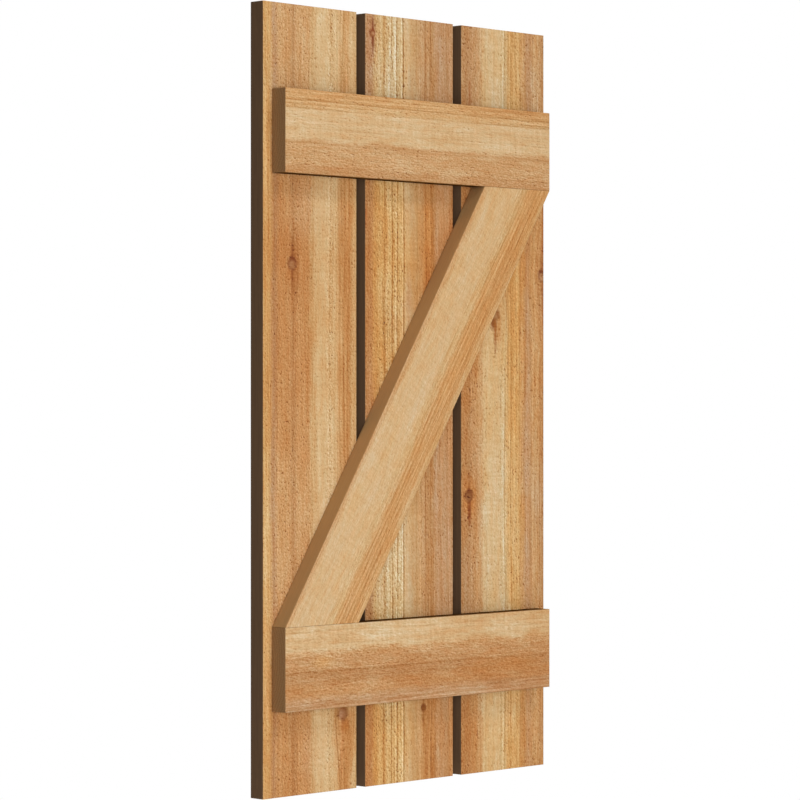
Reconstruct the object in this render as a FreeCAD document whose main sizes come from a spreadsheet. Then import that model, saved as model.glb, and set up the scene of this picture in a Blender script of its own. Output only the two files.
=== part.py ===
"""Spaced board-and-batten window shutter with a diagonal brace, in sawn cedar.

Three upright boards stand side by side with an open slot between neighbours.
A batten lies across their front faces near the top and another near the bottom,
each stopping short of the outer boards' edges. A diagonal brace runs from the lower
batten's left end to the upper batten's right end. Its ends are cut level, so that
they bear flat on the battens, and its front is flush with theirs.

Frame: millimetres, +Z up, front towards -Y. The origin is the centre of the middle
board's back face, which lies on the wall.
"""

import FreeCAD
import Part
import Sketcher

import os

OUTPUT_FOLDER = "parts"

# Driving dimensions in millimetres: alias, value, what it measures.
SIZES = [
    ("board_length", "838.2", "height of the shutter, which is the boards' length"),
    ("board_width", "139.7", "face width of one board"),
    ("board_thickness", "19.05", "thickness of the board stock"),
    ("board_gap", "13.5", "open slot between neighbouring boards"),
    ("batten_width", "88.9", "face width of a batten"),
    ("batten_thickness", "20.5", "thickness of the batten and brace stock"),
    ("batten_end_inset", "13", "from a batten's end to the outer board's edge"),
    ("batten_edge_offset", "91.5", "from a batten's outer edge to the boards' ends"),
    ("brace_width", "92", "width of the brace, square to its long edges"),
]

# Sizes that follow from the driving ones, as expressions on the sheet.
BOARD_PITCH = "(Sizes.board_width + Sizes.board_gap)"
BATTEN_LENGTH = f"(2 * {BOARD_PITCH} + Sizes.board_width - 2 * Sizes.batten_end_inset)"
BATTEN_CENTRE_HEIGHT = (
    "(Sizes.board_length / 2 - Sizes.batten_edge_offset - Sizes.batten_width / 2)"
)
CLEAR_HEIGHT = f"(2 * {BATTEN_CENTRE_HEIGHT} - Sizes.batten_width)"

# Where each piece stands, in board pitches to the right or batten heights upwards.
BOARD_PLACES = {"left_board": -1, "middle_board": 0, "right_board": 1}
BATTEN_PLACES = {"top_batten": 1, "bottom_batten": -1}

# Names for the ends and the origin of sketch elements.
START = 1
END = 2
SKETCH_ORIGIN = -1


def make_sheet(doc):
    """The sheet that holds every driving dimension under its alias."""
    sheet = doc.addObject("Spreadsheet::Sheet", "Sizes")
    for row, (alias, value, meaning) in enumerate(SIZES, start=1):
        sheet.set(f"A{row}", meaning)
        sheet.set(f"B{row}", value)
        sheet.setAlias(f"B{row}", alias)
    doc.recompute()
    return sheet


def front_sketch(body, behind):
    """An empty sketch that faces the front, at the depth `behind` in front of the wall."""
    planes = {feature.Role: feature for feature in body.Origin.OriginFeatures}
    sketch = body.newObject("Sketcher::SketchObject", body.Name + "_outline")
    sketch.AttachmentSupport = [(planes["XZ_Plane"], "")]
    sketch.MapMode = "FlatFace"
    sketch.setExpression("AttachmentOffset.Base.z", behind)
    return sketch


def closed_outline(sketch, corners):
    """Joins the corners with lines, closed, and levels the first and third line."""
    count = len(corners)
    points = [FreeCAD.Vector(x, y, 0) for x, y in corners]
    for i in range(count):
        sketch.addGeometry(Part.LineSegment(points[i], points[(i + 1) % count]))
    for i in range(count):
        joint = Sketcher.Constraint("Coincident", i, END, (i + 1) % count, START)
        sketch.addConstraint(joint)
    bottom, top = 0, 2
    for level in (bottom, top):
        sketch.addConstraint(Sketcher.Constraint("Horizontal", level))
    centred = Sketcher.Constraint("Symmetric", bottom, START, top, START, SKETCH_ORIGIN, START)
    sketch.addConstraint(centred)


def drive(sketch, name, constraint, expression):
    """Adds a dimension to the sketch and binds it to the sheet."""
    index = sketch.addConstraint(constraint)
    sketch.renameConstraint(index, name)
    sketch.setExpression(f"Constraints.{name}", expression)


def pad_forward(body, sketch, thickness):
    """Pads the outline away from the wall to the stock's thickness."""
    pad = body.newObject("PartDesign::Pad", body.Name + "_stock")
    pad.Profile = sketch
    pad.setExpression("Length", thickness)
    body.Tip = pad


def make_plank(doc, name, across, upright, thickness, behind):
    """A square-cut plank, centred on its own origin: a board or a batten."""
    body = doc.addObject("PartDesign::Body", name)
    sketch = front_sketch(body, behind)
    half_across, half_upright = 50, 100
    closed_outline(sketch, [
        (-half_across, -half_upright),
        (half_across, -half_upright),
        (half_across, half_upright),
        (-half_across, half_upright),
    ])
    bottom, right, left = 0, 1, 3
    for plumb in (left, right):
        sketch.addConstraint(Sketcher.Constraint("Vertical", plumb))
    width = Sketcher.Constraint("DistanceX", bottom, START, bottom, END, 2 * half_across)
    height = Sketcher.Constraint("DistanceY", right, START, right, END, 2 * half_upright)
    drive(sketch, "across", width, across)
    drive(sketch, "upright", height, upright)
    pad_forward(body, sketch, thickness)
    return body


def make_board(doc, name, place):
    """An upright board, back on the wall, a number of pitches from the middle."""
    body = make_plank(
        doc, name, "Sizes.board_width", "Sizes.board_length", "Sizes.board_thickness", "0"
    )
    body.setExpression("Placement.Base.x", f"{place} * {BOARD_PITCH}")
    return body


def make_batten(doc, name, place):
    """A horizontal batten on the boards' front faces, above or below the middle."""
    body = make_plank(
        doc, name, BATTEN_LENGTH, "Sizes.batten_width", "Sizes.batten_thickness",
        "Sizes.board_thickness",
    )
    body.setExpression("Placement.Base.z", f"{place} * {BATTEN_CENTRE_HEIGHT}")
    return body


def make_brace(doc, name, sheet):
    """The diagonal brace: a plank whose ends are cut level to bear on the battens.

    Its acute corners meet the corners of the battens' ends. The slope follows from
    the height between the battens, their length and the width of the stock.
    """
    body = doc.addObject("PartDesign::Body", name)
    sketch = front_sketch(body, "Sizes.board_thickness")
    # A first guess for the corners, which the constraints then settle.
    half_span = sheet.board_width
    half_rise = sheet.board_length / 4
    cut = sheet.brace_width
    closed_outline(sketch, [
        (-half_span, -half_rise),
        (-half_span + cut, -half_rise),
        (half_span, half_rise),
        (half_span - cut, half_rise),
    ])
    bottom, right, top, left = 0, 1, 2, 3
    sketch.addConstraint(Sketcher.Constraint("Parallel", right, left))
    span = Sketcher.Constraint("DistanceX", bottom, START, top, START, 2 * half_span)
    rise = Sketcher.Constraint("DistanceY", bottom, START, top, START, 2 * half_rise)
    width = Sketcher.Constraint("Distance", bottom, END, left, cut)
    drive(sketch, "span", span, BATTEN_LENGTH)
    drive(sketch, "rise", rise, CLEAR_HEIGHT)
    drive(sketch, "stock_width", width, "Sizes.brace_width")
    pad_forward(body, sketch, "Sizes.batten_thickness")
    return body


def check_document(doc, bodies):
    """Stops if a feature failed, a sketch is loose or a piece is no valid single solid."""
    for item in doc.Objects:
        if {"Invalid", "Error"} & set(item.State):
            raise RuntimeError(f"{item.Name} failed: {item.State}")
        if item.isDerivedFrom("Sketcher::SketchObject") and not item.FullyConstrained:
            raise RuntimeError(f"{item.Name} is not fully constrained")
    for body in bodies:
        shape = body.Shape
        if shape.isNull() or not shape.isValid() or len(shape.Solids) != 1:
            raise RuntimeError(f"{body.Label} is not one valid solid")


def export_pieces(bodies):
    """Writes each piece to a file named by its label, and prints its box."""
    os.makedirs(OUTPUT_FOLDER, exist_ok=True)
    for body in bodies:
        body.Shape.exportStep(os.path.join(OUTPUT_FOLDER, body.Label + ".step"))
        box = body.Shape.BoundBox
        print(
            f"{body.Label}: {box.XLength:.2f} x {box.YLength:.2f} x {box.ZLength:.2f} mm,"
            f" {body.Shape.Volume / 1000:.1f} cm3"
        )


def main():
    doc = FreeCAD.newDocument("board_and_batten_shutter")
    sheet = make_sheet(doc)
    bodies = [make_board(doc, name, place) for name, place in BOARD_PLACES.items()]
    bodies += [make_batten(doc, name, place) for name, place in BATTEN_PLACES.items()]
    bodies.append(make_brace(doc, "diagonal_brace", sheet))
    doc.recompute()
    check_document(doc, bodies)
    export_pieces(bodies)


main()
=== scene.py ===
# %% [markdown]
# # A board-and-batten shutter in rough-sawn cedar
# The real shutter is six pieces of western red cedar: three upright boards, two battens and
# a diagonal brace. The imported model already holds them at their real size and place, so this
# lesson loads it as a fixed frame and only gives each piece its finish.

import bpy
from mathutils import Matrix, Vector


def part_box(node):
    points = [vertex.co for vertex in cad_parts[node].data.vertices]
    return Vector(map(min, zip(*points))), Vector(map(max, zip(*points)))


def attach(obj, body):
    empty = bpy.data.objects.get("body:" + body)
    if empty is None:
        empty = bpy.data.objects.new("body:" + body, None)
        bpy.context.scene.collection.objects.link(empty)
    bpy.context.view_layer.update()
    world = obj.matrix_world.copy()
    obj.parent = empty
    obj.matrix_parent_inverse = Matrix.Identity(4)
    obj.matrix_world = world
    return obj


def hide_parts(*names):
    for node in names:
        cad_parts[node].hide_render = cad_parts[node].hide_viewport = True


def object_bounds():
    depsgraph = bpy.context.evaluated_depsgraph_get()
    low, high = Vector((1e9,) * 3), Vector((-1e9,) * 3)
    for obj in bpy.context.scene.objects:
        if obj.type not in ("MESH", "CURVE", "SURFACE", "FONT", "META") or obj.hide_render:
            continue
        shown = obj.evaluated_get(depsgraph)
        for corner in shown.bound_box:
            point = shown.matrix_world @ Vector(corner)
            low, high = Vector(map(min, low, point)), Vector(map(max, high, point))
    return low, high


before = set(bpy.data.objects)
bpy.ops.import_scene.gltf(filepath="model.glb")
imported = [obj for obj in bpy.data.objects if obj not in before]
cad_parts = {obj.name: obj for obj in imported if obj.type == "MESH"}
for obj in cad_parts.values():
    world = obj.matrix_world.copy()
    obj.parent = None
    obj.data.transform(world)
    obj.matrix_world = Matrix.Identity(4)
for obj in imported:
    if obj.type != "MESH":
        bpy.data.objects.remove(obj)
cad_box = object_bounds()
print("nodes:", sorted(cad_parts))

# %% [markdown]
# ## The camera
# The photograph was taken with a long lens, level, at half the shutter's height and well to its
# left. A camera can be matched by eye or worked out from edges whose real places are known.
# Edges were used here, so the values below are a fit: focal length in pixels, turn and place.

# %% Camera
import math

import bpy

MM = 0.001
IMAGE_WIDTH_PX = 800
FOCAL_PX = 3176.1
SENSOR_WIDTH_MM = 36.0
CAMERA_TURN = math.radians(46.2)
CAMERA_PLACE_MM = (-2526.9, -2427.3, 0.0)

camera_data = bpy.data.cameras.new("photo_camera")
camera_data.sensor_width = SENSOR_WIDTH_MM
camera_data.lens = FOCAL_PX / IMAGE_WIDTH_PX * SENSOR_WIDTH_MM
camera = bpy.data.objects.new("photo_camera", camera_data)
camera.location = [value * MM for value in CAMERA_PLACE_MM]
camera.rotation_euler = (math.radians(90), 0, -CAMERA_TURN)
scene = bpy.context.scene
scene.collection.objects.link(camera)
scene.camera = camera
scene.view_settings.view_transform = "Standard"
print(f"lens {camera_data.lens:.1f} mm")

# %% [markdown]
# ## One function for colours and one for nodes
# Colours are easiest to read as sRGB hex values, but a shader works in linear light, so one
# function converts them. Node trees are built by a second small function: it adds a node, sets
# its properties, and links or sets its inputs by place or by name.

# %% Helpers for colours and nodes
def linear(hex_colour, alpha=1.0):
    """Linear RGBA of an sRGB hex colour such as #d2a06a."""
    channels = [int(hex_colour[i:i + 2], 16) / 255 for i in (1, 3, 5)]
    light = [c / 12.92 if c <= 0.04045 else ((c + 0.055) / 1.055) ** 2.4 for c in channels]
    return (*light, alpha)


def first_output(source):
    """A node's first output in use, or the socket itself."""
    if isinstance(source, bpy.types.Node):
        return next(socket for socket in source.outputs if socket.enabled)
    return source


def add(tree, kind, inputs=(), **settings):
    """Adds a node. Inputs are links or values, in order or by name; None leaves one as it is."""
    node = tree.nodes.new(kind)
    for name, value in settings.items():
        setattr(node, name, value)
    in_use = [socket for socket in node.inputs if socket.enabled]
    by_name = {socket.name: socket for socket in reversed(in_use)}
    pairs = inputs.items() if isinstance(inputs, dict) else enumerate(inputs)
    for key, value in pairs:
        if value is None:
            continue
        socket = by_name[key] if isinstance(key, str) else in_use[key]
        if isinstance(value, (bpy.types.Node, bpy.types.NodeSocket)):
            tree.links.new(first_output(value), socket)
        else:
            socket.default_value = value
    return node


print("cream sapwood in linear light:", [round(c, 3) for c in linear("#d4b487")])

# %% [markdown]
# ## Light, floor and background
# The photograph is lit from the front, with the edges left dark and a pure white background.
# Two large soft lamps, in front and on the left, do that. The left one lays the soft shadow to
# the right of the brace, and one from above lays the shadows under the battens. Two more,
# straight overhead and behind on the right, are there for the views from above and from the
# back. The floor lies well below, because the real shutter hangs on a wall.
# Rays from the camera and from shiny metal see white where the world is; other rays see a dim
# grey, so that the white background adds no light to the wood.

# %% Lamps
from mathutils import Vector


def soft_lamp(name, place, aim, size, level):
    """A square lamp in metres. At level 1 a white card at the aim renders white."""
    data = bpy.data.lights.new(name, "AREA")
    data.size = size
    away = Vector(place) - Vector(aim)
    data.energy = level * math.pi ** 2 * away.length_squared
    lamp = bpy.data.objects.new(name, data)
    lamp.location = place
    lamp.rotation_mode = "QUATERNION"
    lamp.rotation_quaternion = away.to_track_quat("Z", "Y")
    lamp.visible_camera = False
    scene.collection.objects.link(lamp)


lowest, highest = cad_box
middle = (lowest + highest) / 2
soft_lamp("front_softbox", middle + Vector((0.1, -4.2, 0.0)), middle, 1.4, 0.37)
soft_lamp("left_softbox", middle + Vector((-2.9, -2.9, 0.0)), middle, 2.2, 0.41)
soft_lamp("top_softbox", middle + Vector((0.0, -2.5, 3.15)), middle, 0.9, 0.24)
soft_lamp("overhead_softbox", middle + Vector((0.0, 0.0, 4.2)), middle, 1.6, 0.35)
soft_lamp("back_softbox", middle + Vector((2.6, 2.6, 0.8)), middle, 1.2, 0.7)

# %% World and floor
FLOOR_DROP = 0.55
FLOOR_SIZE = 5.0
AMBIENT = 0.05
SEEN_RAYS = ("Is Camera Ray", "Is Glossy Ray", "Is Transmission Ray")


def seen_directly(tree):
    """1 for rays from the camera, reflections and glass, else 0."""
    path = add(tree, "ShaderNodeLightPath")
    total = path.outputs[SEEN_RAYS[0]]
    for name in SEEN_RAYS[1:]:
        total = add(tree, "ShaderNodeMath", [total, path.outputs[name]], operation="MAXIMUM")
    return total


world = bpy.data.worlds.new("studio")
scene.world = world
world.use_nodes = True
sky = world.node_tree
sky.nodes.clear()
dim = add(sky, "ShaderNodeBackground", {"Color": (1, 1, 1, 1), "Strength": AMBIENT})
white = add(sky, "ShaderNodeBackground", {"Color": (1, 1, 1, 1), "Strength": 1.0})
either = add(sky, "ShaderNodeMixShader", [seen_directly(sky), dim, white])
add(sky, "ShaderNodeOutputWorld", [either])

paper = bpy.data.materials.new("white_paper_floor")
paper.use_nodes = True
sheet = paper.node_tree
sheet.nodes.clear()
matt = add(sheet, "ShaderNodeBsdfDiffuse", {"Color": linear("#e8e6e2")})
glow = add(sheet, "ShaderNodeEmission", {"Color": (1, 1, 1, 1), "Strength": 0.85})
lifted = add(sheet, "ShaderNodeAddShader", [matt, glow])
shown = add(sheet, "ShaderNodeMixShader", [seen_directly(sheet), matt, lifted])
add(sheet, "ShaderNodeOutputMaterial", [shown])

half = FLOOR_SIZE / 2
floor_corners = [(-half, -half, 0), (half, -half, 0), (half, half, 0), (-half, half, 0)]
floor_mesh = bpy.data.meshes.new("floor")
floor_mesh.from_pydata(floor_corners, [], [(0, 1, 2, 3)])
floor_mesh.materials.append(paper)
floor = bpy.data.objects.new("floor", floor_mesh)
floor.location = (middle.x, middle.y, lowest.z - FLOOR_DROP)
scene.collection.objects.link(floor)
print(f"floor at z = {floor.location.z:.3f} m")

# %% [markdown]
# ## How a plank is meshed
# A sawn plank could stay a plain block with bump, but its edges would then look like plastic.
# Here each one is a closed block of fine quads: close enough to carry the growth ridges and
# grooves as real relief, with arrises eased by a fraction of a millimetre. Each point also
# keeps its place in the wood, in millimetres across, through and along the grain.

# %% Plank meshes
import numpy as np

STEP_ACROSS = 1.5 * MM
STEP_ALONG = 2.4 * MM
EASE_LINE = 0.7 * MM
ARRIS = 0.15 * MM
FACE, END, EDGE = 0, 1, 2
FINISH_BY_AXIS = (EDGE, FACE, END)


def grid_lines(length, step):
    """Places of grid lines from 0 to 1, with one close to each end for the arris."""
    count = max(2, round((length - 2 * EASE_LINE) / step) + 1)
    inner = np.linspace(EASE_LINE, length - EASE_LINE, count)
    return np.concatenate([[0], inner, [length]]) / length


def block_faces(shape, mirrored):
    """Quads, as lattice numbers, on the six sides of a lattice, and the finish of each."""
    numbers = np.arange(np.prod(shape)).reshape(shape)
    faces, finishes = [], []
    for axis in range(3):
        for side in (0, -1):
            sheet = np.take(numbers, side, axis)
            corners = [sheet[:-1, :-1], sheet[1:, :-1], sheet[1:, 1:], sheet[:-1, 1:]]
            if (side == 0) ^ (axis == 1) ^ mirrored:
                corners.reverse()
            quads = np.stack(corners, -1).reshape(-1, 4)
            faces.append(quads)
            finishes.append(np.full(len(quads), FINISH_BY_AXIS[axis], np.int32))
    return np.concatenate(faces), np.concatenate(finishes)


def plank_mesh(name, corner, across, along, thickness):
    """A closed plank from its front corner. Across and along may be askew, as on the brace."""
    corner, across, along = (np.array(v, float) for v in (corner, across, along))
    through = np.array([0, thickness, 0])
    grain_way = along / np.linalg.norm(along)
    square_width = np.linalg.norm(across - grain_way * (across @ grain_way))
    lines = [
        grid_lines(square_width, STEP_ACROSS),
        grid_lines(thickness, STEP_ACROSS * 1.4),
        grid_lines(np.linalg.norm(along), STEP_ALONG),
    ]
    shape = tuple(len(line) for line in lines)
    mirrored = np.linalg.det(np.stack([across, through, along])) < 0
    quads, finishes = block_faces(shape, mirrored)
    used, quads = np.unique(quads, return_inverse=True)
    places = np.unravel_index(used, shape)
    share = np.stack([line[place] for line, place in zip(lines, places)], -1)
    edge = np.stack([(s == 0) * 1.0 - (s == 1) * 1.0 for s in share.T], -1)
    on_arris = np.abs(edge).sum(1, keepdims=True) >= 2
    lengths = np.array([square_width, thickness, np.linalg.norm(along)])
    share = share + on_arris * edge * ARRIS / lengths
    points = corner + share @ np.stack([across, through, along])
    mesh = bpy.data.meshes.new(name)
    mesh.from_pydata(points, [], quads.reshape(-1, 4))
    mesh.polygons.foreach_set("material_index", finishes)
    mesh.polygons.foreach_set("use_smooth", np.ones(len(finishes), bool))
    from_start = points - corner
    in_wood = np.stack([
        share[:, 0] * square_width,
        share[:, 1] * thickness,
        from_start @ grain_way,
    ], -1)
    grain = mesh.attributes.new("grain", "FLOAT_VECTOR", "POINT")
    grain.data.foreach_set("vector", (in_wood / MM).ravel().astype(np.float32))
    mesh.update()
    return mesh


def box_plank(node, upright):
    """The mesh of a square-cut plank that fills a node's box."""
    low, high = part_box(node)
    size = high - low
    wide, tall = Vector((size.x, 0, 0)), Vector((0, 0, size.z))
    across, along = (wide, tall) if upright else (tall, wide)
    return plank_mesh(node, low, across, along, size.y)


def brace_sides(node):
    """The brace's level foot and its sloping side, as vectors from its lowest corner."""
    low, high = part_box(node)
    corners = np.array([vertex.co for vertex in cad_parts[node].data.vertices])
    foot = corners[corners[:, 2] < low.z + MM]
    cut = foot[:, 0].max() - low.x
    return Vector((cut, 0, 0)), Vector((high.x - low.x - cut, 0, high.z - low.z))


def brace_plank(node):
    """The mesh of the brace, whose ends are cut level between the battens."""
    low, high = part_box(node)
    across, along = brace_sides(node)
    return plank_mesh(node, low, across, along, high.y - low.y)


# %% [markdown]
# ## The figure of the wood
# Cedar's figure is built from layers, each with a real size: slow wander of the grain, streaks
# of growth, fine fibres, flecks torn by the saw, grit, and the saw's marks straight across.
# Each layer is a noise stretched to that size in millimetres. Bands of sapwood and heartwood
# and single growth lines lie at measured places across the plank and wander with the grain.
# The same nodes go into the material and into the relief, so that a dark line and the groove
# in it lie in the same place.

# %% Layers of the figure
LAYERS = {
    # layer: size across, through and along the grain in millimetres, octaves
    "spacing": (12.0, 20.0, 500.0, 1),
    "streaks": (3.0, 9.0, 320.0, 4),
    "fibres": (1.9, 4.0, 36.0, 2),
    "mottle": (16.0, 30.0, 70.0, 3),
    "tinge": (4.5, 9.0, 16.0, 4),
    "clusters": (13.0, 20.0, 45.0, 1),
    "flecks": (2.0, 2.4, 3.4, 1),
    "grit": (1.9, 1.9, 2.3, 1),
    "saw": (35.0, 40.0, 3.6, 3),
    "dashes": (5.0, 8.0, 9.0, 1),
}
WANDER_SIZE = (70.0, 60.0, 240.0)
# Painted light and shade: each fleck is taken from a copy shifted this far aside, so it gets a
# bright side and a dark side as if lit from one side.
PAINTED_EMBOSS_SHIFT = (0.6, 0.0, 0.9)
RING_PITCH = 8.0
RING_DRIFT = 9.0
FIGURES = {
    # figure: how strongly growth streaks, saw marks and torn flecks show, and how strongly the
    # deepening shows (heartwood, and on the boards painted shade)
    "smooth": (0.25, 1.0, 0.5, 0.4),
    "fine": (0.6, 0.6, 0.75, 0.5),
    "lined": (0.9, 0.4, 0.8, 0.8),
    "flecked": (0.5, 0.4, 1.1, 1.0),
    "ridged": (0.8, 0.2, 1.1, 0.75),
    "torn": (0.4, 0.2, 1.2, 0.5),
}
BAND_BLEND = 3.5
TONE_SPREAD = {"streaks": 5.0, "mottle": 9.0, "flecks": 6.0}
LINE_SPREAD = {"mottle": 3.0, "fibres": 1.5}


def band_stops(bands, width):
    """Places and band of the ramp stops: each band keeps its tone up to a short blend."""
    stops = []
    for number, (start, tone, figure) in enumerate(bands):
        end = bands[number + 1][0] if number + 1 < len(bands) else width
        blend = min(BAND_BLEND, (end - start) / 3)
        stops.append(((start + blend) / width, tone, figure))
        stops.append(((end - blend) / width, tone, figure))
    return stops


def line_stops(lines, width):
    """Ramp stops of growth lines, each a dark groove with a painted highlight on one flank, about
    a level of a half.

    Red holds that level, and green how far the line is broken up into dashes.
    """
    stops = []
    for place, reach, groove, painted_flank_highlight, broken in lines:
        # The flank is a painted highlight, as on a ridge lit from one side.
        steps = ((-2.4, 0), (-1.2, painted_flank_highlight), (0, -groove), (1, 0))
        for offset, change in steps:
            at = (place + offset * reach) / width
            stops.append((at, (0.5 + change / 2, broken, 0, 1)))
    return stops


def fill_ramp(node, stops):
    """Gives a colour ramp these (place, colour) stops."""
    elements = node.color_ramp.elements
    for number, (place, colour) in enumerate(stops):
        element = elements[number] if number < 2 else elements.new(place)
        element.position = place
        element.color = colour


def weigh(tree, parts, weights, start=0.0):
    """start plus each layer's departure from its mean of a half, times its weight."""
    total = start - sum(weights.values()) / 2
    for layer, weight in weights.items():
        total = add(tree, "ShaderNodeMath", [parts[layer], weight, total], operation="MULTIPLY_ADD")
    return total


def smooth_step(tree, value, low, high, start=0.0, end=1.0):
    """Eases from start to end while the value goes from low to high."""
    limits = [value, low, high, start, end]
    return add(tree, "ShaderNodeMapRange", limits, interpolation_type="SMOOTHSTEP")


def across_share(tree, parts, flow, spread, width):
    """Place across the plank from 0 to 1, made ragged by some of the layers."""
    ragged = weigh(tree, parts, spread)
    place = add(tree, "ShaderNodeMath", [flow, ragged], operation="ADD")
    return add(tree, "ShaderNodeMath", [place, width], operation="DIVIDE")


def figure_nodes(tree, grain, plank):
    """Adds the nodes of a plank's figure to a tree and returns them by name."""
    seed = (0, plank["seed"], 0)
    width = plank["width"]
    parts = {}
    stretch = tuple(1 / size for size in WANDER_SIZE)
    place = add(tree, "ShaderNodeVectorMath", [grain, stretch, seed], operation="MULTIPLY_ADD")
    wander = add(tree, "ShaderNodeTexNoise", {"Vector": place, "Scale": 1.0, "Detail": 1.0})
    swing = plank["wander"]
    shift = add(tree, "ShaderNodeMath", [wander, 2 * swing, -swing], operation="MULTIPLY_ADD")
    split = add(tree, "ShaderNodeSeparateXYZ", [grain])
    depth = split.outputs["Y"]
    shift = add(tree, "ShaderNodeMath", [depth, plank["lean"], shift], operation="MULTIPLY_ADD")
    flow = add(tree, "ShaderNodeMath", [split.outputs["X"], shift], operation="ADD")
    for knot in plank["knots"]:
        flow = bend_round_knot(tree, grain, flow, knot)
    warped = add(tree, "ShaderNodeCombineXYZ", [flow, depth, split.outputs["Z"]])
    # A shifted copy of the flecks, for their painted light and shade.
    beside = add(tree, "ShaderNodeVectorMath", [warped, PAINTED_EMBOSS_SHIFT], operation="ADD")
    layers = {**LAYERS, **plank["layers"]}
    for name, size in {**layers, "painted_emboss": layers["flecks"]}.items():
        stretch = tuple(1 / length for length in size[:3])
        start = beside if name == "painted_emboss" else warped
        place = add(tree, "ShaderNodeVectorMath", [start, stretch, seed], operation="MULTIPLY_ADD")
        settings = {"Vector": place, "Scale": 1.0, "Detail": size[3], "Roughness": 0.6}
        parts[name] = add(tree, "ShaderNodeTexNoise", settings)

    stops = band_stops(plank["bands"], width)
    across = across_share(tree, parts, flow, TONE_SPREAD, width)
    parts["tone"] = add(tree, "ShaderNodeValToRGB", [across])
    fill_ramp(parts["tone"], [(place, linear(TONES[tone])) for place, tone, _ in stops])
    figure = add(tree, "ShaderNodeValToRGB", [across])
    fill_ramp(figure, [(place, FIGURES[name]) for place, _, name in stops])
    strength = add(tree, "ShaderNodeSeparateXYZ", [figure])
    parts["growth_share"] = strength.outputs["X"]
    parts["saw_share"] = strength.outputs["Y"]
    parts["fleck_share"] = strength.outputs["Z"]
    parts["deepen_share"] = figure.outputs["Alpha"]

    across = across_share(tree, parts, flow, LINE_SPREAD, width)
    lines = add(tree, "ShaderNodeValToRGB", [across])
    fill_ramp(lines, line_stops(plank["lines"], width))
    line = add(tree, "ShaderNodeSeparateXYZ", [lines])
    change = add(tree, "ShaderNodeMath", [line.outputs["X"], 2.0, -1.0], operation="MULTIPLY_ADD")
    gap = smooth_step(tree, parts["dashes"], 0.56, 0.44)
    gap = add(tree, "ShaderNodeMath", [gap, line.outputs["Y"]], operation="MULTIPLY")
    kept = add(tree, "ShaderNodeMath", [1.0, gap], operation="SUBTRACT")
    parts["line"] = add(tree, "ShaderNodeMath", [change, kept], operation="MULTIPLY")

    drift = weigh(tree, parts, {"spacing": 4 * RING_DRIFT, "streaks": RING_DRIFT, "flecks": 3.0})
    spread = add(tree, "ShaderNodeMath", [flow, drift], operation="ADD")
    turns = add(tree, "ShaderNodeMath", [spread, RING_PITCH], operation="DIVIDE")
    ring = add(tree, "ShaderNodeMath", [turns], operation="FRACT")
    rise = smooth_step(tree, ring, 0.55, 0.86)
    fall = smooth_step(tree, ring, 1.0, 0.9)
    parts["late"] = add(tree, "ShaderNodeMath", [rise, fall], operation="MULTIPLY")
    return parts


def bend_round_knot(tree, grain, flow, knot):
    """Pushes the grain aside round a knot, as the trunk grows round a branch."""
    across, along, radius = knot["across"], knot["along"], knot["radius"]
    reach = (1 / (3.2 * radius), 0, 1 / (9 * radius))
    off = add(tree, "ShaderNodeVectorMath", [grain, (across, 0, along)], operation="SUBTRACT")
    scaled = add(tree, "ShaderNodeVectorMath", [off, reach], operation="MULTIPLY")
    distance = add(tree, "ShaderNodeVectorMath", [scaled], operation="LENGTH").outputs["Value"]
    push = smooth_step(tree, distance, 0.0, 1.0, -0.75, 0.0)
    side = add(tree, "ShaderNodeSeparateXYZ", [off]).outputs["X"]
    return add(tree, "ShaderNodeMath", [side, push, flow], operation="MULTIPLY_ADD")


# %% [markdown]
# ## Rough-sawn western red cedar
# The wood is unfinished and rough-sawn: matt, with cream sapwood, honey and pinkish-brown
# heartwood in bands along the grain, darker growth lines, torn flecks and a few small knots.
# Wood reflects about 4 % at its surface, and rough fibres scatter even that, so the specular
# level is low and the roughness high.

# %% Cedar material
TONES = {
    "honey": "#c99963",
    "lilac": "#bb9066",
    "clay": "#bc8956",
    "russet": "#c99b68",
    "brown": "#c09262",
    "straw": "#cda775",
    "cream": "#d4b384",
    "butter": "#d4b88b",
    "wheat": "#cba571",
    "sand": "#c59d6d",
    "amber": "#ca9f6b",
    "rust": "#bb8b5a",
    "rose": "#be9268",
    "mauve": "#bf9368",
    "brick": "#b68656",
    "gold": "#d2a86f",
    "ivory": "#d0ad7f",
    "tan": "#c79c6c",
}
GROWTH_SHADES = {"streaks": 0.5, "fibres": 0.55}
LATEWOOD_SHADE = 0.12
# Weight of the painted emboss: light and shade of the flecks painted into the colour.
PAINTED_EMBOSS_SHADE = 0.55
GRIT_SHADES = {"grit": 0.55}
SAW_SHADES = {"saw": 0.24}
FIBRE_DARKENING = (1.0, 1.7, 2.8)
TINGE = (0.0, 0.4, 0.8)
HEARTWOOD_DEEPENING = (1.5, 3.9, 7.0)
SAPWOOD_DEEPENING = (0.4, 2.8, 7.0)
STAIN_SPREAD = {"mottle": 0.5, "flecks": 0.45}
RELIEF_MM = 0.45


def darken(tree, colour, shade, law):
    """Multiplies a colour by a shade raised to its own power in red, green and blue."""
    shade = add(tree, "ShaderNodeMath", [shade, 0.05], operation="MAXIMUM")
    tint = add(tree, "ShaderNodeVectorMath", [shade, law], operation="POWER")
    return add(tree, "ShaderNodeVectorMath", [colour, tint], operation="MULTIPLY")


def knot_stains(across, along, radius, streak, rim, core):
    """The stains of a knot from the outside in: a streak along the grain, bark ring and core."""
    return [
        (across, along, 0.45 * radius, 5.5 * radius, streak, 0.85, 0.0),
        (across, along, 1.2 * radius, 1.2 * radius, rim, 0.9, 0.45),
        (across, along - 0.2 * radius, 0.85 * radius, 0.8 * radius, core, 0.75, 0.3),
    ]


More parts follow.
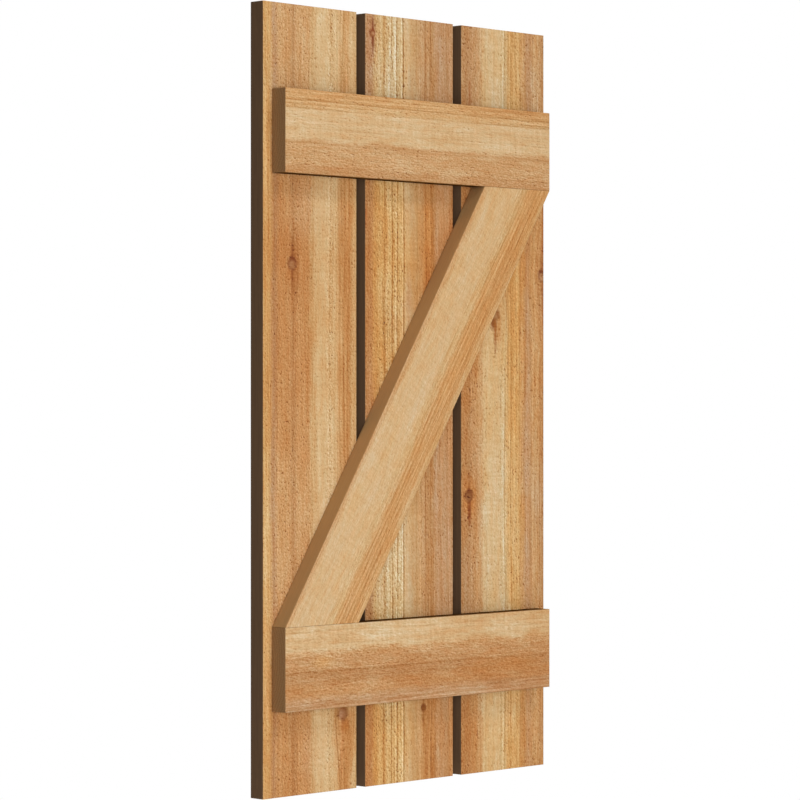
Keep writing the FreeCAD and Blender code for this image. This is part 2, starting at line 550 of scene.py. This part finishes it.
def stain(tree, parts, grain, colour, spot):
    """Mixes in one soft, ragged patch of another tone."""
    across, along, half_width, half_length, tone, share, flat = spot
    off = add(tree, "ShaderNodeVectorMath", [grain, (across, 0, along)], operation="SUBTRACT")
    reach = (1 / half_width, 0, 1 / half_length)
    scaled = add(tree, "ShaderNodeVectorMath", [off, reach], operation="MULTIPLY")
    distance = add(tree, "ShaderNodeVectorMath", [scaled], operation="LENGTH").outputs["Value"]
    ragged = weigh(tree, parts, STAIN_SPREAD)
    distance = add(tree, "ShaderNodeMath", [distance, ragged], operation="ADD")
    amount = smooth_step(tree, distance, flat, 1.0, share, 0.0)
    return add(tree, "ShaderNodeMix", [amount, colour, linear(tone)], data_type="RGBA")


def deepened_and_shaded(tree, parts, grain, colour, plank):
    """Deepens the tone along the plank, and mottles it.

    On the boards the deepening is partly heartwood and partly painted shade below the battens
    and painted light above them.
    """
    length = plank["deepening_and_shade"][-1][0]
    place = add(tree, "ShaderNodeSeparateXYZ", [grain]).outputs["Z"]
    place = add(tree, "ShaderNodeMath", [place, length], operation="DIVIDE")
    depth = add(tree, "ShaderNodeValToRGB", [place])
    fill_ramp(depth, [(at / length, (d, d, d, 1)) for at, d in plank["deepening_and_shade"]])
    depth.color_ramp.interpolation = "EASE"
    depth = add(tree, "ShaderNodeMath", [depth, parts["deepen_share"]], operation="MULTIPLY")
    level = weigh(tree, parts, {"mottle": plank["mottle"]}, start=1.0)
    level = add(tree, "ShaderNodeMath", [level, depth], operation="SUBTRACT")
    return darken(tree, colour, level, plank["law"])


def sawn_cedar(name, plank):
    """The matt, streaked and flecked finish of one plank."""
    material = bpy.data.materials.new(name)
    material.use_nodes = True
    tree = material.node_tree
    tree.nodes.clear()
    grain = add(tree, "ShaderNodeAttribute", attribute_name="grain").outputs["Vector"]
    parts = figure_nodes(tree, grain, plank)

    torn = smooth_step(tree, parts["flecks"], 0.38, 0.28)
    crowd = add(tree, "ShaderNodeMapRange", [parts["clusters"], 0.33, 0.6, 0.1, 1.0])
    torn = add(tree, "ShaderNodeMath", [torn, crowd], operation="MULTIPLY")
    # Painted emboss: flecks minus their shifted copy, a lit and a shaded side on each.
    painted_emboss = add(tree, "ShaderNodeMath", [parts["flecks"], parts["painted_emboss"]], operation="SUBTRACT")

    growth = weigh(tree, parts, GROWTH_SHADES)
    late = [parts["late"], -LATEWOOD_SHADE, growth]
    growth = add(tree, "ShaderNodeMath", late, operation="MULTIPLY_ADD")
    flecks = weigh(tree, parts, GRIT_SHADES)
    flecks = add(tree, "ShaderNodeMath", [painted_emboss, PAINTED_EMBOSS_SHADE, flecks], operation="MULTIPLY_ADD")
    flecks = add(tree, "ShaderNodeMath", [torn, -plank["torn"], flecks], operation="MULTIPLY_ADD")
    marks = weigh(tree, parts, SAW_SHADES)
    shade = add(tree, "ShaderNodeMath", [1.0, parts["line"]], operation="ADD")
    for layer, share in ((growth, "growth_share"), (flecks, "fleck_share"), (marks, "saw_share")):
        shade = add(tree, "ShaderNodeMath", [layer, parts[share], shade], operation="MULTIPLY_ADD")
    # On the boards this deepening is partly painted shade and light round the battens.
    colour = deepened_and_shaded(tree, parts, grain, parts["tone"], plank)
    for spot in plank["stains"]:
        colour = stain(tree, parts, grain, colour, spot)
    for knot in plank["knots"]:
        for spot in knot_stains(**knot):
            colour = stain(tree, parts, grain, colour, spot)
    colour = darken(tree, colour, shade, FIBRE_DARKENING)
    tinge = [parts["tinge"], TINGE, tuple(1 - share / 2 for share in TINGE)]
    tinge = add(tree, "ShaderNodeVectorMath", tinge, operation="MULTIPLY_ADD")
    colour = add(tree, "ShaderNodeVectorMath", [colour, tinge], operation="MULTIPLY")

    height = [parts["grit"], 0.5, parts["fibres"]]
    height = add(tree, "ShaderNodeMath", height, operation="MULTIPLY_ADD")
    height = add(tree, "ShaderNodeMath", [torn, -0.6, height], operation="MULTIPLY_ADD")
    bump = add(tree, "ShaderNodeBump", {"Height": height, "Strength": 0.5, "Distance": 0.4 * MM})
    shader = add(tree, "ShaderNodeBsdfPrincipled", {
        "Base Color": colour, "Roughness": 0.85, "Specular IOR Level": 0.35, "Normal": bump,
    })
    add(tree, "ShaderNodeOutputMaterial", [shader])
    return material


def sawn_relief(name, plank):
    """Geometry nodes that press the figure into the sawn faces.

    Points move only front to back, so that the seams between pieces stay closed.
    """
    tree = bpy.data.node_groups.new(name, "GeometryNodeTree")
    tree.interface.new_socket("Geometry", in_out="INPUT", socket_type="NodeSocketGeometry")
    tree.interface.new_socket("Geometry", in_out="OUTPUT", socket_type="NodeSocketGeometry")
    source = add(tree, "NodeGroupInput")
    grain = add(tree, "GeometryNodeInputNamedAttribute", ["grain"], data_type="FLOAT_VECTOR")
    parts = figure_nodes(tree, first_output(grain), plank)
    depth = [parts["late"], 0.4, parts["streaks"]]
    depth = add(tree, "ShaderNodeMath", depth, operation="MULTIPLY_ADD")
    depth = add(tree, "ShaderNodeMath", [parts["line"], -2.0, depth], operation="MULTIPLY_ADD")
    depth = add(tree, "ShaderNodeMath", [depth, -RELIEF_MM * MM / 2], operation="MULTIPLY")
    depth = add(tree, "ShaderNodeMath", [depth, 0.0], operation="MINIMUM")
    normal = add(tree, "GeometryNodeInputNormal")
    out = add(tree, "ShaderNodeVectorMath", [normal, (0, 1, 0)], operation="MULTIPLY")
    offset = add(tree, "ShaderNodeVectorMath", {"Vector": out, "Scale": depth}, operation="SCALE")
    moved = add(tree, "GeometryNodeSetPosition", {"Geometry": source, "Offset": offset})
    add(tree, "NodeGroupOutput", [moved])
    return tree


# %% [markdown]
# ## Ends and edges
# Cut across, cedar shows its growth rings as arcs round the heart of the log, and drinks in
# more damp, so the ends are darker. The long edges were ripped with a finer saw and have only
# faint streaks. They could share the faces' material, but the bands and flecks of a face would
# then run over the corner, so ends and edges each have a plain one. The photograph shows the
# boards' edges greyed, the battens' dark and the brace's pale, so the edges have three tones.
# A thin dark line shows where the battens meet the boards, so their edges are darkened towards
# it: painted shade for the shade in that corner.

# %% End and edge materials
# Where the painted shade on an edge starts towards its seat and where it is darkest, in
# millimetres behind the front face.
PAINTED_SEAT_SHADE_DEPTHS = (3.0, 13.0)


def cross_cut_cedar():
    """Sawn end grain: darker than the faces, with growth rings as arcs."""
    material = bpy.data.materials.new("cross_cut_cedar")
    material.use_nodes = True
    tree = material.node_tree
    tree.nodes.clear()
    grain = add(tree, "ShaderNodeAttribute", attribute_name="grain").outputs["Vector"]
    heart = (55.0, 95.0, 0.0)
    from_pith = add(tree, "ShaderNodeVectorMath", [grain, heart], operation="SUBTRACT")
    flat = add(tree, "ShaderNodeVectorMath", [from_pith, (1, 1, 0)], operation="MULTIPLY")
    radius = add(tree, "ShaderNodeVectorMath", [flat], operation="LENGTH").outputs["Value"]
    rough = add(tree, "ShaderNodeTexNoise", {"Vector": grain, "Scale": 1 / 6.0, "Detail": 3.0})
    uneven = add(tree, "ShaderNodeMath", [rough, 3.0, radius], operation="MULTIPLY_ADD")
    turns = add(tree, "ShaderNodeMath", [uneven, 3.4], operation="DIVIDE")
    ring = add(tree, "ShaderNodeMath", [turns], operation="FRACT")
    late = smooth_step(tree, ring, 0.5, 0.95, 0.2, 0.6)
    tones = [late, linear("#9b7952"), linear("#865d38")]
    colour = add(tree, "ShaderNodeMix", tones, data_type="RGBA")
    pores = add(tree, "ShaderNodeTexNoise", {"Vector": grain, "Scale": 1 / 1.3, "Detail": 2.0})
    shade = add(tree, "ShaderNodeMath", [pores, 0.7, 0.65], operation="MULTIPLY_ADD")
    scaled = {"Vector": colour, "Scale": shade}
    colour = add(tree, "ShaderNodeVectorMath", scaled, operation="SCALE")
    bump = add(tree, "ShaderNodeBump", {"Height": pores, "Strength": 0.5, "Distance": 0.4 * MM})
    shader = add(tree, "ShaderNodeBsdfPrincipled", {
        "Base Color": colour, "Roughness": 0.92, "Specular IOR Level": 0.1, "Normal": bump,
    })
    add(tree, "ShaderNodeOutputMaterial", [shader])
    return material


def ripped_edge_cedar(name, dark, pale, seat_painted_shade=1.0):
    """Ripped edges: dry and quite matt, with faint streaks along the grain.

    The last argument, below 1, darkens them towards the seat as painted shade.
    """
    material = bpy.data.materials.new(name)
    material.use_nodes = True
    tree = material.node_tree
    tree.nodes.clear()
    grain = add(tree, "ShaderNodeAttribute", attribute_name="grain").outputs["Vector"]
    place = add(tree, "ShaderNodeVectorMath", [grain, (0.1, 0.6, 0.02)], operation="MULTIPLY")
    streaks = add(tree, "ShaderNodeTexNoise", {"Vector": place, "Scale": 1.0, "Detail": 3.0})
    colour = add(tree, "ShaderNodeMix", [streaks, linear(dark), linear(pale)], data_type="RGBA")
    depth = add(tree, "ShaderNodeSeparateXYZ", [grain]).outputs["Y"]
    # Painted shade: the colour darkens towards the seat, where the edge meets the boards.
    shade = smooth_step(tree, depth, *PAINTED_SEAT_SHADE_DEPTHS, 1.0, seat_painted_shade)
    scaled = {"Vector": colour, "Scale": shade}
    colour = add(tree, "ShaderNodeVectorMath", scaled, operation="SCALE")
    bump = add(tree, "ShaderNodeBump", {"Height": streaks, "Strength": 0.4, "Distance": 0.4 * MM})
    shader = add(tree, "ShaderNodeBsdfPrincipled", {
        "Base Color": colour, "Roughness": 0.95, "Specular IOR Level": 0.0, "Normal": bump,
    })
    add(tree, "ShaderNodeOutputMaterial", [shader])
    return material


end_grain = cross_cut_cedar()
EDGES = {
    "board_cedar": ripped_edge_cedar("greyed_cedar_edge", "#624c3b", "#795f46"),
    # The battens' edges carry painted shade towards the boards.
    "batten_cedar": ripped_edge_cedar("dark_cedar_edge_painted_shade", "#7d5930", "#8f693f", 0.2),
    "brace_cedar": ripped_edge_cedar("cedar_brace_edge", "#a77f52", "#b38d5f"),
}

# %% [markdown]
# ## The six planks
# No two planks of cedar look alike: each was cut from its own place in a log. One material
# could serve all six, but then the same bands would repeat. Here each plank has its own short
# list, written down from what the photograph shows: bands of tone and figure across the grain,
# single growth lines, stains and knots, all in millimetres from the plank's lower left corner.

# %% Planks and their bands
SMALL_FLECKS = {"flecks": (1.6, 2.0, 5.5, 1)}
# Deepening along the boards, in millimetres from the bottom: partly the heartwood's own tone,
# partly painted shade, darker and warmer below each batten, and painted light, paler above them.
BOARD_DEEPENING_AND_SHADE = [
    (0, 0.078), (80, 0.08), (240, 0.004), (300, 0.01), (330, 0.022), (390, 0.053), (450, 0.078),
    (510, 0.08), (570, 0.107), (630, 0.08), (720, 0.03), (780, 0.0), (838, 0.0),
]
PLANKS = {
    "left_board": {
        "slot": "board_cedar", "width": 139.7, "seed": 3.1, "wander": 3.0, "lean": 0.6,
        "layers": {}, "torn": 0.5, "mottle": 0.17,
        "law": HEARTWOOD_DEEPENING, "deepening_and_shade": BOARD_DEEPENING_AND_SHADE,
        "bands": [
            (0, "gold", "lined"), (13, "lilac", "flecked"), (20, "russet", "flecked"),
            (41, "brown", "flecked"), (48, "russet", "flecked"), (70, "straw", "fine"),
            (78, "cream", "smooth"),
            (97, "cream", "torn"), (104, "cream", "fine"), (112, "amber", "lined"),
            (118, "honey", "lined"), (131, "straw", "fine"),
        ],
        "lines": [
            (33, 2.0, 0.08, 0.0, 0.6), (44, 2.2, 0.12, 0.0, 0.5), (72, 1.5, 0.1, 0.0, 0.6),
            (100, 1.8, 0.2, 0.12, 0.9), (115.5, 1.4, 0.18, 0.1, 0.4),
            (121, 1.5, 0.18, 0.1, 0.4), (127, 1.4, 0.16, 0.1, 0.4),
        ],
        "stains": [
            (85, 40, 46, 50, "#dcc29a", 0.28, 0.0), (75, 620, 60, 45, "#d6bb93", 0.25, 0.0),
            (88, 508, 44, 42, "#c6945a", 0.45, 0.0), (43, 562, 10, 36, "#b5753c", 0.45, 0.0),
            (122, 68, 12, 11, "#bd7735", 0.85, 0.1), (117, 40, 4, 42, "#b9763c", 0.6, 0.0),
        ],
        "knots": [
            {"across": 43, "along": 564, "radius": 8, "streak": "#8a4a1a", "rim": "#7c3c14",
             "core": "#b68456"},
            {"across": 119, "along": 83, "radius": 10, "streak": "#b0703a", "rim": "#8f5426",
             "core": "#b1805a"},
        ],
    },
    "middle_board": {
        "slot": "board_cedar", "width": 139.7, "seed": 17.7, "wander": 4.0, "lean": -0.8,
        "layers": {}, "torn": 0.5, "mottle": 0.17,
        "law": SAPWOOD_DEEPENING,
        "deepening_and_shade": [(at, 1.2 * depth) for at, depth in BOARD_DEEPENING_AND_SHADE],
        "bands": [
            (0, "lilac", "flecked"), (13, "wheat", "flecked"), (18, "butter", "flecked"),
            (26, "wheat", "ridged"), (31, "butter", "ridged"), (61, "ivory", "smooth"),
            (70, "sand", "smooth"), (84, "tan", "fine"), (91, "rust", "lined"),
            (110, "rose", "fine"), (125, "lilac", "fine"), (131, "rose", "lined"),
        ],
        "lines": [
            (29, 2.0, 0.2, 0.06, 0.5), (41, 1.6, 0.42, 0.12, 0.3), (49.3, 1.6, 0.32, 0.25, 0.3),
            (59.5, 1.7, 0.42, 0.25, 0.2), (81, 1.2, 0.16, 0.0, 0.4), (88, 1.2, 0.14, 0.1, 0.4),
            (95, 1.3, 0.16, 0.1, 0.4), (103.5, 1.8, 0.24, 0.1, 0.4),
        ],
        "stains": [
            (8, 812, 9, 48, "#ad7048", 0.5, 0.0), (12, 812, 3.0, 30, "#7a3814", 0.9, 0.1),
            (1, 617, 6, 30, "#a8622f", 0.7, 0.0), (98, 600, 16, 70, "#cb8845", 0.5, 0.0),
            (68, 530, 8, 45, "#b9936f", 0.5, 0.0), (93, 70, 6, 30, "#b06a28", 0.6, 0.0),
            (42, 506, 30, 40, "#c08e54", 0.4, 0.0), (124, 630, 15, 52, "#d2a070", 0.35, 0.0),
        ],
        "knots": [
            {"across": 11.5, "along": 818, "radius": 5, "streak": "#7a3814", "rim": "#843c14",
             "core": "#b98a60"},
            {"across": 92, "along": 80, "radius": 5, "streak": "#94561f", "rim": "#84440e",
             "core": "#844810"},
        ],
    },
    "right_board": {
        "slot": "board_cedar", "width": 139.7, "seed": 29.3, "wander": 3.0, "lean": 0.7,
        "layers": {}, "torn": 0.5, "mottle": 0.17,
        "law": SAPWOOD_DEEPENING,
        "deepening_and_shade": [(at, 0.75 * depth) for at, depth in BOARD_DEEPENING_AND_SHADE],
        "bands": [
            (0, "brick", "flecked"), (18, "brown", "flecked"), (27, "tan", "fine"),
            (35, "cream", "smooth"), (66, "butter", "fine"), (75, "gold", "lined"),
            (99, "honey", "lined"), (106, "mauve", "fine"), (118, "tan", "lined"),
            (134, "rust", "lined"),
        ],
        "lines": [
            (41, 1.4, 0.14, 0.0, 0.9), (55, 1.2, 0.1, 0.05, 0.5), (65.5, 1.4, 0.16, 0.0, 1.0),
            (72.5, 1.4, 0.24, 0.08, 0.3), (83, 1.5, 0.22, 0.1, 0.4), (92, 1.2, 0.12, 0.08, 0.5),
            (98.5, 1.2, 0.12, 0.0, 0.5), (133, 1.5, 0.16, 0.0, 0.9),
        ],
        "stains": [
            (70, 62, 60, 34, "#d9bd93", 0.22, 0.0),
            (14, 757, 5, 34, "#a3622f", 0.7, 0.0), (14, 312, 13, 34, "#c67f3e", 0.8, 0.1),
            (14, 294, 4, 26, "#843f12", 0.9, 0.0), (80, 548, 20, 80, "#bd8243", 0.6, 0.0),
            (62, 503, 9, 36, "#b9742c", 0.7, 0.0), (54, 509, 9, 15, "#8a4a10", 0.95, 0.3),
            (57, 494, 4, 32, "#96541a", 0.85, 0.0),
            (139, 562, 3.2, 110, "#a05624", 0.7, 0.0),
        ],
        "knots": [
            {"across": 13, "along": 312, "radius": 8, "streak": "#94501c", "rim": "#763a10",
             "core": "#9a6436"},
            {"across": 57, "along": 516, "radius": 8, "streak": "#9c5a20", "rim": "#864812",
             "core": "#b08050"},
            {"across": 137, "along": 562, "radius": 9, "streak": "#94501c", "rim": "#743610",
             "core": "#bd8c5c"},
        ],
    },
    "top_batten": {
        "slot": "batten_cedar", "width": 88.9, "seed": 41.9, "wander": 3.0, "lean": 0.5,
        "layers": SMALL_FLECKS, "torn": 0.5, "mottle": 0.17,
        "law": HEARTWOOD_DEEPENING, "deepening_and_shade": [(0, 0.0), (420, 0.0)],
        "bands": [
            (0, "brown", "flecked"), (8, "tan", "flecked"), (31, "tan", "fine"),
            (35, "ivory", "smooth"), (70, "amber", "lined"), (79, "honey", "lined"),
        ],
        "lines": [
            (7, 2.0, 0.1, 0.0, 0.8), (20, 1.5, 0.06, 0.0, 0.8), (33, 1.6, 0.12, 0.0, 0.7),
            (48, 1.3, 0.07, 0.04, 0.4), (57, 1.3, 0.06, 0.04, 0.4), (69.5, 1.3, 0.14, 0.05, 0.4),
            (77.5, 1.3, 0.2, 0.1, 0.4), (84, 1.4, 0.08, 0.06, 0.5),
        ],
        "stains": [],
        "knots": [],
    },
    "bottom_batten": {
        "slot": "batten_cedar", "width": 88.9, "seed": 53.3, "wander": 5.0, "lean": -0.5,
        "layers": SMALL_FLECKS, "torn": 0.2, "mottle": 0.24,
        "law": HEARTWOOD_DEEPENING, "deepening_and_shade": [(0, 0.005), (180, 0.02), (420, 0.04)],
        "bands": [
            (0, "lilac", "lined"), (13, "clay", "flecked"), (28, "brick", "flecked"),
            (42, "brown", "flecked"), (57, "tan", "flecked"), (61, "ivory", "smooth"),
        ],
        "lines": [
            (4, 1.4, 0.12, 0.14, 0.3), (9, 1.3, 0.1, 0.1, 0.3), (40, 1.8, 0.14, 0.0, 0.6),
            (76, 1.3, 0.07, 0.04, 0.4), (81.5, 1.2, 0.1, 0.05, 0.4),
        ],
        "stains": [
            (50, 57, 11, 24, "#cf9550", 0.5, 0.0), (33, 345, 16, 90, "#bd7c3c", 0.45, 0.0),
        ],
        "knots": [],
    },
    "diagonal_brace": {
        "slot": "brace_cedar", "width": 92.0, "seed": 67.1, "wander": 3.0, "lean": 0.4,
        "layers": SMALL_FLECKS, "torn": 0.2, "mottle": 0.12,
        "law": SAPWOOD_DEEPENING,
        "deepening_and_shade": [(0, 0.0), (250, 0.0), (480, 0.035), (660, 0.035)],
        "bands": [
            (0, "tan", "fine"), (4, "ivory", "smooth"), (50, "straw", "fine"),
            (60, "honey", "lined"), (87, "amber", "fine"),
        ],
        "lines": [
            (50, 1.2, 0.08, 0.05, 0.6), (59, 1.2, 0.12, 0.06, 0.4), (64, 1.1, 0.13, 0.06, 0.4),
            (68.5, 1.3, 0.2, 0.08, 0.4), (73.5, 1.1, 0.15, 0.06, 0.4), (78.5, 1.3, 0.2, 0.08, 0.4),
            (84, 1.2, 0.15, 0.06, 0.4),
        ],
        "stains": [],
        "knots": [],
    },
}


def make_plank(node, mesh):
    """Dresses one node: the meshed plank with its relief and finishes stands for the CAD solid."""
    plank = PLANKS[node]
    piece = bpy.data.objects.new(f"sawn_{node}", mesh)
    scene.collection.objects.link(piece)
    sawn = sawn_cedar(f"sawn_cedar_{node}", plank)
    mesh.materials.append(sawn)
    mesh.materials.append(end_grain)
    mesh.materials.append(EDGES[plank["slot"]])
    relief = piece.modifiers.new("sawn_relief", "NODES")
    relief.node_group = sawn_relief(f"sawn_relief_{node}", plank)
    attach(piece, "root")
    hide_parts(node)
    print(f"{piece.name}: {len(mesh.polygons)} quads")


BOARDS = ("left_board", "middle_board", "right_board")
BATTENS = ("top_batten", "bottom_batten")
BRACE = "diagonal_brace"

for board in BOARDS:
    make_plank(board, box_plank(board, upright=True))
for batten in BATTENS:
    make_plank(batten, box_plank(batten, upright=False))
make_plank(BRACE, brace_plank(BRACE))

# %% [markdown]
# ## Screws in the back
# The front shows no fastener, so the boards are screwed to the battens and the brace from
# behind, two screws at each crossing, set askew so that they don't split the wood. Heads could
# be dots of colour, but steel is known by its glint, so each is a real disc with a recess for
# a cross-head driver. Only the heads are made, since the wood hides the rest.

# %% Screws
import bmesh
from mathutils.geometry import tessellate_polygon

HEAD_RADIUS = 4.0 * MM
HEAD_SIDES = 24
HEAD_RISE = 0.3 * MM
HEAD_SUNK = -0.8 * MM
RECESS_FLOOR = 0.02 * MM
RECESS_REACH = 2.4 * MM
RECESS_HALF_WIDTH = 0.6 * MM
# The last faces of each head are the floor and the twelve walls of its recess.
RECESS_FACES = 13
SCREW_STEP_ACROSS = 35 * MM
SCREW_STEP_UP = 22 * MM
BRACE_SHARES = (0.08, 0.18, 0.42, 0.58, 0.82, 0.92)


def screw_steel(name, colour, roughness):
    """Stainless steel: a metal, so its colour is all in the reflection, blurred by brushing."""
    material = bpy.data.materials.new(name)
    material.use_nodes = True
    tree = material.node_tree
    tree.nodes.clear()
    shader = add(tree, "ShaderNodeBsdfPrincipled", {
        "Base Color": linear(colour), "Metallic": 1.0, "Roughness": roughness,
    })
    add(tree, "ShaderNodeOutputMaterial", [shader])
    return material


def screw_places():
    """Centres of the heads on the back: two at each crossing, and six along the brace."""
    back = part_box(BOARDS[0])[1].y
    places = []
    for board in BOARDS:
        x = sum(corner.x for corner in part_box(board)) / 2
        for batten in BATTENS:
            z = sum(corner.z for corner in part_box(batten)) / 2
            for side in (-1, 1):
                places.append((x + side * SCREW_STEP_ACROSS, back, z + side * SCREW_STEP_UP))
    foot, slope = brace_sides(BRACE)
    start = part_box(BRACE)[0] + foot / 2
    for share in BRACE_SHARES:
        at = start + share * slope
        places.append((at.x, back, at.z))
    return places


def screw_head():
    """Points and faces of one head round the origin, with its top towards +Y."""
    turns = [2 * math.pi * number / HEAD_SIDES for number in range(HEAD_SIDES)]
    rim = [(HEAD_RADIUS * math.cos(turn), HEAD_RADIUS * math.sin(turn)) for turn in turns]
    near, far = RECESS_HALF_WIDTH, RECESS_REACH
    arm = [(far, -near), (far, near), (near, near)]
    cross = []
    for _ in range(4):
        cross += arm
        arm = [(-z, x) for x, z in arm]
    rings = [(rim, HEAD_RISE), (cross, HEAD_RISE), (rim, HEAD_SUNK), (cross, RECESS_FLOOR)]
    points = [(x, y, z) for ring, y in rings for x, z in ring]
    count = len(rim) + len(cross)
    top = [Vector(point) for point in points[:count]]
    faces = list(tessellate_polygon([top[:len(rim)], top[len(rim):]]))
    for first, size in ((0, len(rim)), (len(rim), len(cross))):
        loop = list(range(first, first + size))
        faces.append([number + count for number in loop])
        for here, after in zip(loop, loop[1:] + loop[:1]):
            faces.append([here, after, after + count, here + count])
    return points, faces


points, faces = screw_head()
all_points, all_faces = [], []
for place in screw_places():
    all_faces += [[number + len(all_points) for number in face] for face in faces]
    all_points += [Vector(point) + Vector(place) for point in points]
screw_mesh = bpy.data.meshes.new("back_screws")
screw_mesh.from_pydata(all_points, [], all_faces)
heads = bmesh.new()
heads.from_mesh(screw_mesh)
bmesh.ops.recalc_face_normals(heads, faces=heads.faces)
heads.to_mesh(screw_mesh)
heads.free()
screw_mesh.materials.append(screw_steel("satin_stainless_steel", "#a8a7a2", 0.45))
# The recess floor and walls take dark steel: painted shade in the hollow of the head.
screw_mesh.materials.append(screw_steel("recess_painted_shade_steel", "#2b2a28", 0.6))
for number, face in enumerate(screw_mesh.polygons):
    if number % len(faces) >= len(faces) - RECESS_FACES:
        face.material_index = 1
screws = bpy.data.objects.new("back_screws", screw_mesh)
scene.collection.objects.link(screws)
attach(screws, "root")
print(f"{len(screw_places())} screws, {len(screw_mesh.polygons)} faces")
